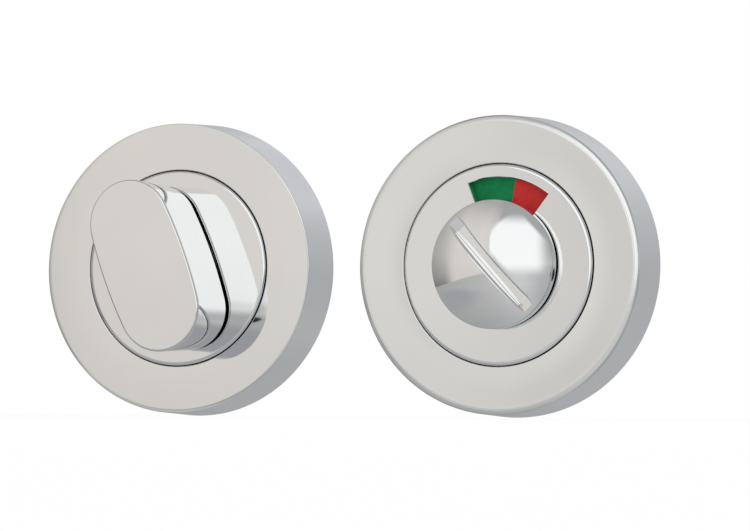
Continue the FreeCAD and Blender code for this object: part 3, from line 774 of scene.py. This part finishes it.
def grip_ring(inset, depth):
    return [(p[0] - inset * p[2], depth, p[1] - inset * p[3]) for p in outline]


def grip_ways(outward, forward):
    return [(p[2] * outward, forward, p[3] * outward) for p in outline]


skin = fresh_skin()
lean = math.atan(grip_taper / (grip_face - grip_back))
rows, ways = [], []
for level, size, start, end in ((grip_back + back_round, back_round, -math.pi / 2, -lean),
                                (grip_face - front_round, front_round, -lean, math.pi / 2)):
    inset = size / math.cos(lean) + (grip_face - level) * math.tan(lean)
    for i in range(13):
        a = start + (end - start) * i / 12
        rows.append(grip_ring(inset - size * math.cos(a), level + size * math.sin(a)))
        ways.append(grip_ways(math.cos(a), math.sin(a)))
weave(skin, rows, ways)
cap(skin, rows[-1], 1)
directions = [math.atan2(p[0], p[2]) for p in rows[0]]
weave(skin, [circle(stem_radius, grip_back, directions), rows[0]], [grip_ways(0.0, -1.0)] * 2)
turned(skin, straight((stem_radius - 0.2, stem_end), (stem_radius, stem_end + 0.2),
                      (stem_radius, 1.45), (clip_radius, 1.45), (clip_radius, 2.55),
                      (stem_radius, 2.55), (stem_radius, grip_back)), directions)
socket_end(skin, circle(stem_radius - 0.2, stem_end, directions), stem_end, 12.5, socket_width)
turned_to(skin, 0.0, knob_angle)
place_piece(skin, "thumb_turn_chrome", chrome, "inside_turn",
            ["thumb_turn_knob"])

# Square spindle: a length of drawn 5 mm bar with its free end pointed, pinned into the stem.
# It reaches through the follower of the lock case and into the socket of the coin turn.
skin = fresh_skin()
corner_steps = 5


def square_ring(half, corner, depth):
    ring = []
    for quarter in range(4):
        for i in range(corner_steps + 1):
            a = math.radians(90 * quarter + 90 * i / corner_steps)
            middle = math.radians(90 * quarter + 45)
            cx = math.copysign(half - corner, math.sin(middle))
            cz = math.copysign(half - corner, math.cos(middle))
            ring.append((cx + corner * math.sin(a), depth, cz + corner * math.cos(a)))
    return ring


def square_ways(outward, forward):
    ways = []
    for quarter in range(4):
        for i in range(corner_steps + 1):
            a = math.radians(90 * quarter + 90 * i / corner_steps)
            ways.append((outward * math.sin(a), forward, outward * math.cos(a)))
    return ways


point = square_ring(1.9, 0.2, -45.0)
point_foot = square_ring(2.5, 0.3, -44.4)
pinned_end = square_ring(2.5, 0.3, 12.3)
weave(skin, [point_foot, pinned_end], [square_ways(1, 0)] * 2)
weave(skin, [point, point_foot], [square_ways(0.707, -0.707)] * 2)
cap(skin, point, -1)
cap(skin, pinned_end, 1)
turned_to(skin, 0.0, knob_angle)
drawn = finish("drawn_steel", (0.70, 0.70, 0.68), 1.0, 0.3)
vary(drawn, grain(drawn, 0.003, 4.0, (1.0, 0.12, 1.0)), (0.58, 0.585, 0.58), (0.76, 0.755, 0.735))
haze(drawn, grain(drawn, 0.0006, 3.0, (1.0, 0.06, 1.0)), 0.22, 0.36)
relief(drawn, ((grain(drawn, 0.0003, 3.0, (1.0, 0.04, 1.0)), 0.000006),))
place_piece(skin, "square_spindle", drawn, "inside_turn", ["spindle"])
dress("spindle_pin", steel)

# Base plate of the outside rose: a zinc casting like the other, with a boss for the coin turn.
# Two tapped steel posts are riveted into it and take the bolts that come through the door.
dress("release_base_plate", zinc)
post_radius, post_end, post_head, tapped_radius, tapped_bottom = 3.5, -15.0, 4.2, 1.65, -1.5
skin = fresh_skin()
angles = even_angles(48)
for side in (-1, 1):
    z = side * fixing_radius
    turned(skin, straight((2.1, post_end), (post_radius - 0.3, post_end),
                          (post_radius, post_end + 0.3), (post_radius, 2.0), (post_head, 2.0),
                          (post_head, 2.85), (post_head - 0.15, plate_top)),
           angles, release_x, z)
    cap(skin, circle(post_head - 0.15, plate_top, angles, release_x, z), 1)
    turned(skin, straight((tapped_radius, post_end + 0.5), (2.1, post_end)), angles, release_x, z)
    rows, ways = thread(tapped_radius, 1.95, post_end + 0.5, tapped_bottom, bolt_pitch, angles, 0.3)
    ways = [[(-w[0], -w[1], -w[2]) for w in way] for way in ways]
    weave(skin, shifted(rows, release_x, z)[::-1], ways[::-1])
    cap(skin, circle(tapped_radius, tapped_bottom, angles, release_x, z), -1)
place_piece(skin, "tapped_posts", steel, "door_roses", ["release_posts"])

# Cover of the outside rose: the same turned and plated brass ring, buffed much softer
# round its front edge, where the buffing wheel has left fine circular lines under the plating.
buffed_chrome = chrome.copy()
buffed_chrome.name = "buffed_chrome"
tree = buffed_chrome.node_tree
reach = away(tree, added(tree, "TexCoord").outputs["Object"], release_middle, (1.0, 0.0, 1.0))
shoulder = spread(tree, reach, 0.0241, 0.0248, True)
wheel_lines = added(tree, "TexNoise", {"Scale": 2600.0, "Detail": 1.0})
wheel_lines.noise_dimensions = "1D"
tree.links.new(reach, wheel_lines.inputs["W"])
lines = worked(tree, "MULTIPLY", wheel_lines.outputs["Fac"], shoulder)
relief(buffed_chrome, ((lines, 0.00006),))
haze(buffed_chrome, shoulder, 0.05, 0.16, 0.0, 1.0)
rose_cover(release_x, 25.6, 1.55, 0.36, buffed_chrome, "release_cover_chrome",
           "release_rose_cover")

# Centre disc of the outside rose: a turned brass disc, polished and plated, with a curved window
# cut over the indicator wheel. A skirt behind it stands on the base plate.
edge_break = 0.12
window_low, window_high = 10.2, 14.98
skirt_radius, neck_radius, lug_reach = 15.88, 6.35, 18.48
opening = [math.radians(-21.0 + 58.5 * i / 72) for i in range(73)]
rest = [math.radians(37.5 + 301.5 * i / 300) for i in range(1, 300)]
angles = opening + rest
last = len(opening) - 1
skin = fresh_skin()
turned(skin, straight((skirt_radius, plate_top), (disc_radius, plate_top), disc_edge[0][0][0])
       + disc_edge, angles, release_x)


def window_ring(radius, depth, widen):
    """A ring of spots that leaves the window's two ends wider by the broken edge."""
    spots = circle(radius, depth, angles, release_x)
    for s, sense in ((0, -1), (last, 1)):
        a = angles[s] + sense * widen / radius
        spots[s] = (release_x + radius * math.sin(a), depth, radius * math.cos(a))
    return spots


def lay(rows, forward, start, end):
    """Flat panels between rows, from one place along them to another."""
    for near, far in zip(rows, rows[1:]):
        s = start
        while s != end:
            t = (s + 1) % len(near)
            panel(skin, (near[s], far[s], far[t], near[t]), [(0.0, float(forward), 0.0)] * 4)
            s = t


far_front = window_ring(window_high + edge_break, rose_depth, edge_break)
near_front = window_ring(window_low - edge_break, rose_depth, edge_break)
shoulder = circle(disc_edge[-1][-1][0][0], rose_depth, angles, release_x)
hole_front = circle(neck_radius + 0.15, rose_depth, angles, release_x)
lay([shoulder, far_front], 1, 0, last)
lay([shoulder, far_front], 1, last, 0)
lay([far_front, near_front], 1, last, 0)
lay([near_front, hole_front], 1, 0, last)
lay([near_front, hole_front], 1, last, 0)
turned(skin, straight((neck_radius + 0.15, rose_depth), (neck_radius, rose_depth - 0.15),
                      (neck_radius, disc_back)), angles, release_x)
hole_back, near_back, far_back, skirt_back = (
    circle(radius, disc_back, angles, release_x)
    for radius in (neck_radius, window_low, window_high, skirt_radius))
for start, end in ((0, last), (last, 0)):
    lay([hole_back, near_back], -1, start, end)
    lay([far_back, skirt_back], -1, start, end)
lay([near_back, far_back], -1, last, 0)
turned(skin, straight((skirt_radius, disc_back), (skirt_radius, plate_top)), angles, release_x)
far_rim = circle(window_high, rose_depth - edge_break, angles, release_x)
near_rim = circle(window_low, rose_depth - edge_break, angles, release_x)
for s in range(last):
    t = s + 1
    mid = (angles[s] + angles[t]) / 2
    out_way = (math.sin(mid), 0.0, math.cos(mid))
    in_way = (-math.sin(mid), 0.0, -math.cos(mid))
    slant_in = (in_way[0] * 0.707, 0.707, in_way[2] * 0.707)
    slant_out = (out_way[0] * 0.707, 0.707, out_way[2] * 0.707)
    panel(skin, (far_front[s], far_rim[s], far_rim[t], far_front[t]), [slant_in] * 4)
    panel(skin, (far_rim[s], far_back[s], far_back[t], far_rim[t]), [in_way] * 4)
    panel(skin, (near_rim[s], near_front[s], near_front[t], near_rim[t]), [slant_out] * 4)
    panel(skin, (near_back[s], near_rim[s], near_rim[t], near_back[t]), [out_way] * 4)
for s, sense in ((0, 1), (last, -1)):
    a = angles[s]
    way = (sense * math.cos(a), 0.0, -sense * math.sin(a))
    slant = (way[0] * 0.707, 0.707, way[2] * 0.707)
    upper = [far_front[s], near_front[s], near_rim[s], far_rim[s]]
    lower = [far_rim[s], near_rim[s], near_back[s], far_back[s]]
    if sense < 0:
        upper.reverse()
        lower.reverse()
    panel(skin, upper, [slant] * 4)
    panel(skin, lower, [way] * 4)
for side in (-1, 1):
    turned(skin, straight((1.5, plate_top), (2.55, plate_top), (2.55, 7.4), (1.5, 7.4),
                          (1.5, plate_top)), even_angles(40), release_x + side * lug_reach)
place_piece(skin, "release_disc_chrome", chrome, "door_roses",
            ["release_centre_disc"])

# Two small countersunk screws come from behind through the base plate into the disc's lugs.
# They are zinc plated steel, cross-driven.
screw_radius, screw_root, screw_pitch = 1.45, 1.15, 0.5
head_face, thread_foot, thread_top, screw_tip = 0.05, 1.5, 5.9, 6.2
skin = fresh_skin()
angles = even_angles(32)
for side in (-1, 1):
    x = release_x + side * lug_reach
    cross_recess(skin, x, 0, circle(2.66, head_face, angles, x), head_face, 0.8, 3.2, 0.85, -1)
    turned(skin, straight((2.66, head_face), (2.7, 0.09), (2.7, 0.12), (screw_radius, 1.32),
                          (screw_radius, thread_foot)), angles, x)
    rows, ways = thread(screw_radius, screw_root, thread_foot, thread_top, screw_pitch, angles, 0.4)
    weave(skin, shifted(rows, x, 0), ways)
    turned(skin, straight((screw_radius, thread_top), (1.2, screw_tip)), angles, x)
    cap(skin, circle(1.2, screw_tip, angles, x), 1)
place_piece(skin, "disc_screws", steel, "door_roses", ["release_disc_screws"])

# Indicator wheel: a moulded plastic disc keyed on the stem of the coin turn.
# Half of its face is painted green for vacant and half red for engaged.
wheel = finish("wheel_plastic", (0.85, 0.85, 0.83), 0.0, 0.5)
vary(wheel, grain(wheel, 0.004), (0.80, 0.80, 0.78), (0.88, 0.88, 0.86))
haze(wheel, grain(wheel, 0.001), 0.42, 0.58)
relief(wheel, ((grain(wheel, 0.0005), 0.00001),))
dress("indicator_wheel", wheel)
for node, slot, dark, light in (
        ("green_field", "green_paint", (0.004, 0.235, 0.078), (0.009, 0.300, 0.102)),
        ("red_field", "red_paint", (0.66, 0.031, 0.031), (0.80, 0.046, 0.043))):
    paint = finish(slot, light, 0.0, 0.38)
    paint.node_tree.nodes["Principled BSDF"].inputs["Specular IOR Level"].default_value = 0.12
    vary(paint, grain(paint, 0.0012, 4.0), dark, light)
    haze(paint, grain(paint, 0.0006), 0.32, 0.46)
    relief(paint, ((grain(paint, 0.0004), 0.000012),))
    dress(node, paint)

# Bush, wave washer and circlip of the outside rose, as on the inside one.
for node, look in (("release_bush", nylon), ("release_circlip", spring)):
    dress(node, look)
wave_washer(release_x, 1.9, 2.6, "release_washer_spring", "release_wave_washer")

# Coin turn: a low dome on a short skirt with a stem behind, turned from brass and milled with
# a flat-bottomed coin slot. The slot's edges are broken, and its ends run up to the dome.
coin_angle = -42.6
coin_radius, coin_back, dome_rise, dome_top, coin_edge = 11.0, 10.45, 2.5, 14.9, 0.2
dome_radius = (coin_radius ** 2 + dome_rise ** 2) / (2 * dome_rise)
dome_centre = dome_top - dome_radius
half_slot, floor_level, ramp_start, ramp_end = 1.025, 12.1, 8.3, 10.2
edge_middle = coin_radius - coin_edge
rim_radius = edge_middle * dome_radius / (dome_radius - coin_edge)


def dome_level(x, z):
    return dome_centre + math.sqrt(dome_radius ** 2 - x * x - z * z)


def dome_spot(x, z):
    return (x, dome_level(x, z), z)


def dome_way(x, z):
    return (x / dome_radius, (dome_level(x, z) - dome_centre) / dome_radius, z / dome_radius)


def slot_level(z):
    if abs(z) <= ramp_start:
        return floor_level
    rise = dome_level(0.0, ramp_end) - floor_level
    return floor_level + rise * (abs(z) - ramp_start) / (ramp_end - ramp_start)


def half_width(z):
    return math.sqrt(max(0.0, rim_radius ** 2 - z * z))


def eased(z):
    """How far the slot's edge is broken: less where the slot runs out."""
    return min(0.45, max(0.0, 0.4 * (dome_level(half_slot, z) - slot_level(z))))


# Milling has left fine lines along the slot's walls and floor.
ramp_slope = (slot_level(ramp_end) - floor_level) / (ramp_end - ramp_start)
wall_marks = [(1.0, 0.10), (0.86, -0.06), (0.72, 0.12), (0.56, -0.05), (0.40, 0.10),
              (0.24, -0.04), (0.10, 0.14), (0.0, 0.30)]
foot_marks = [(half_slot, 0.30), (0.86, 0.10), (0.66, -0.03), (0.44, 0.05), (0.22, -0.02),
              (0.0, 0.0)]
skin = fresh_skin()
columns, steps = 44, 5
marks = [-ramp_end + (ramp_end - ramp_start) * i / 8 for i in range(8)]
marks += [-ramp_start + 2 * ramp_start * i / 120 for i in range(121)]
marks += [ramp_start + (ramp_end - ramp_start) * i / 8 for i in range(1, 9)]


def four_sided(skin, four, side):
    """One panel of the slot, of spots with their ways, on the left or on the right."""
    if side > 0:
        four.reverse()
    panel(skin, [p[0] for p in four], [p[1] for p in four])


def domed(skin, spots, side):
    """One panel of the dome."""
    if side < 0:
        spots.reverse()
    panel(skin, [dome_spot(*p) for p in spots], [dome_way(*p) for p in spots])


for side in (-1, 1):
    rows = []
    for z in marks:
        edge_x = half_slot + eased(z)
        wide = half_width(z)
        rows.append([side * (edge_x + (wide - edge_x) * k / columns) for k in range(columns + 1)])
    for i in range(len(marks) - 1):
        for k in range(columns):
            spots = [(rows[i][k], marks[i]), (rows[i][k + 1], marks[i]),
                     (rows[i + 1][k + 1], marks[i + 1]), (rows[i + 1][k], marks[i + 1])]
            domed(skin, spots, side)
    for i in range(len(marks) - 1):
        for k in range(steps):
            four = []
            for m, n in ((i, k), (i, k + 1), (i + 1, k + 1), (i + 1, k)):
                z = marks[m]
                size = eased(z)
                turn = math.radians(90 * n / steps)
                top = dome_level(half_slot + size, z)
                spot = (side * (half_slot + size * (1 - math.sin(turn))),
                        top - size * (1 - math.cos(turn)), z)
                tilt = dome_way(side * half_slot, z)
                way = Vector((-side * math.sin(turn), math.cos(turn), tilt[2] * math.cos(turn)))
                if n == 0:
                    way = Vector(dome_way(side * (half_slot + size), z))
                four.append((spot, tuple(way.normalized())))
            four_sided(skin, four, side)
        for (up_z, turn_a), (down_z, turn_b) in zip(wall_marks, wall_marks[1:]):
            four = []
            for z, up, turn in ((marks[i], up_z, turn_a), (marks[i], down_z, turn_b),
                                (marks[i + 1], down_z, turn_b), (marks[i + 1], up_z, turn_a)):
                top = dome_level(half_slot + eased(z), z) - eased(z)
                spot = (side * half_slot, slot_level(z) + (top - slot_level(z)) * up, z)
                four.append((spot, (-side * math.cos(turn), math.sin(turn), 0.0)))
            four_sided(skin, four, side)
        for a, b in zip(foot_marks, foot_marks[1:]):
            four = []
            for z, (across, turn) in ((marks[i], a), (marks[i], b), (marks[i + 1], b),
                                      (marks[i + 1], a)):
                slope = 0.0 if abs(z) <= ramp_start else math.copysign(ramp_slope, z)
                way = Vector((-side * math.sin(turn), math.cos(turn), -slope * math.cos(turn)))
                spot = (side * across, slot_level(z), z)
                four.append((spot, tuple(way.normalized())))
            four_sided(skin, four, side)
shares = [-(half_slot + (half_width(ramp_end) - half_slot) * k / columns) / half_width(ramp_end)
          for k in range(columns, -1, -1)]
shares += [-s for s in reversed(shares)]
ends = [ramp_end + (rim_radius - ramp_end) * math.sin(math.pi / 2 * i / 14) for i in range(15)]
for side in (-1, 1):
    for z, y in zip(ends, ends[1:]):
        for a, b in zip(shares, shares[1:]):
            spots = [(a * half_width(z), side * z), (b * half_width(z), side * z),
                     (b * half_width(y), side * y), (a * half_width(y), side * y)]
            domed(skin, spots, side)
right_rim = [(half_width(z), z) for z in ends[::-1][:-1]]
right_rim += [(half_width(z), z) for z in marks[::-1]]
right_rim += [(half_width(z), -z) for z in ends[1:]]
left_rim = [(-p[0], -p[1]) for p in right_rim[1:-1]]
angles = [math.atan2(p[0], p[1]) for p in right_rim + left_rim]
fillet_level = dome_centre + math.sqrt((dome_radius - coin_edge) ** 2 - edge_middle ** 2)
meet = math.degrees(math.atan2(fillet_level - dome_centre, edge_middle))
skirt_lean, skirt_foot = 11.3, (coin_radius, coin_back + 0.15)
skirt = [(skirt_foot, (1.0, 0.05)), ((coin_radius, 11.5), (1.0, 0.12)),
         ((coin_radius, fillet_level), (1.0, 0.2))]
neck_radius, neck_back = 6.2, 7.6
turned(skin, straight((neck_radius, neck_back), (neck_radius, coin_back),
                      (coin_radius - 0.15, coin_back), skirt_foot)
       + [skirt] + bend(edge_middle, fillet_level, coin_edge, skirt_lean, meet, 10), angles)
stem_flat, clip_low, clip_high = 4.7, 0.75, 1.85


def stem_ring(radius, depth):
    return [(min(stem_flat, max(-stem_flat, p[0])), depth, p[2])
            for p in circle(radius, depth, angles)]


stem_way = [(math.copysign(1.0, math.sin(a)), 0.0, 0.0)
            if abs(stem_radius * math.sin(a)) > stem_flat
            else (math.sin(a), 0.0, math.cos(a)) for a in angles]
back_way, front_way = [(0.0, -1.0, 0.0)] * len(angles), [(0.0, 1.0, 0.0)] * len(angles)
weave(skin, [stem_ring(stem_radius, neck_back), circle(neck_radius, neck_back, angles)],
      [back_way] * 2)
for radius, low, high in ((stem_radius, stem_end, clip_low), (clip_radius, clip_low, clip_high),
                          (stem_radius, clip_high, neck_back)):
    weave(skin, [stem_ring(radius, low), stem_ring(radius, high)], [stem_way] * 2)
weave(skin, [stem_ring(stem_radius, clip_low), stem_ring(clip_radius, clip_low)], [front_way] * 2)
weave(skin, [stem_ring(clip_radius, clip_high), stem_ring(stem_radius, clip_high)],
      [back_way] * 2)
socket_end(skin, stem_ring(stem_radius, stem_end), stem_end, 10.2, socket_width)
turned_to(skin, 0.0, coin_angle)
skin["spots"] = [(p[0] + release_x, p[1], p[2]) for p in skin["spots"]]
place_piece(skin, "coin_turn_chrome", chrome, "outside_turn", ["coin_turn"])
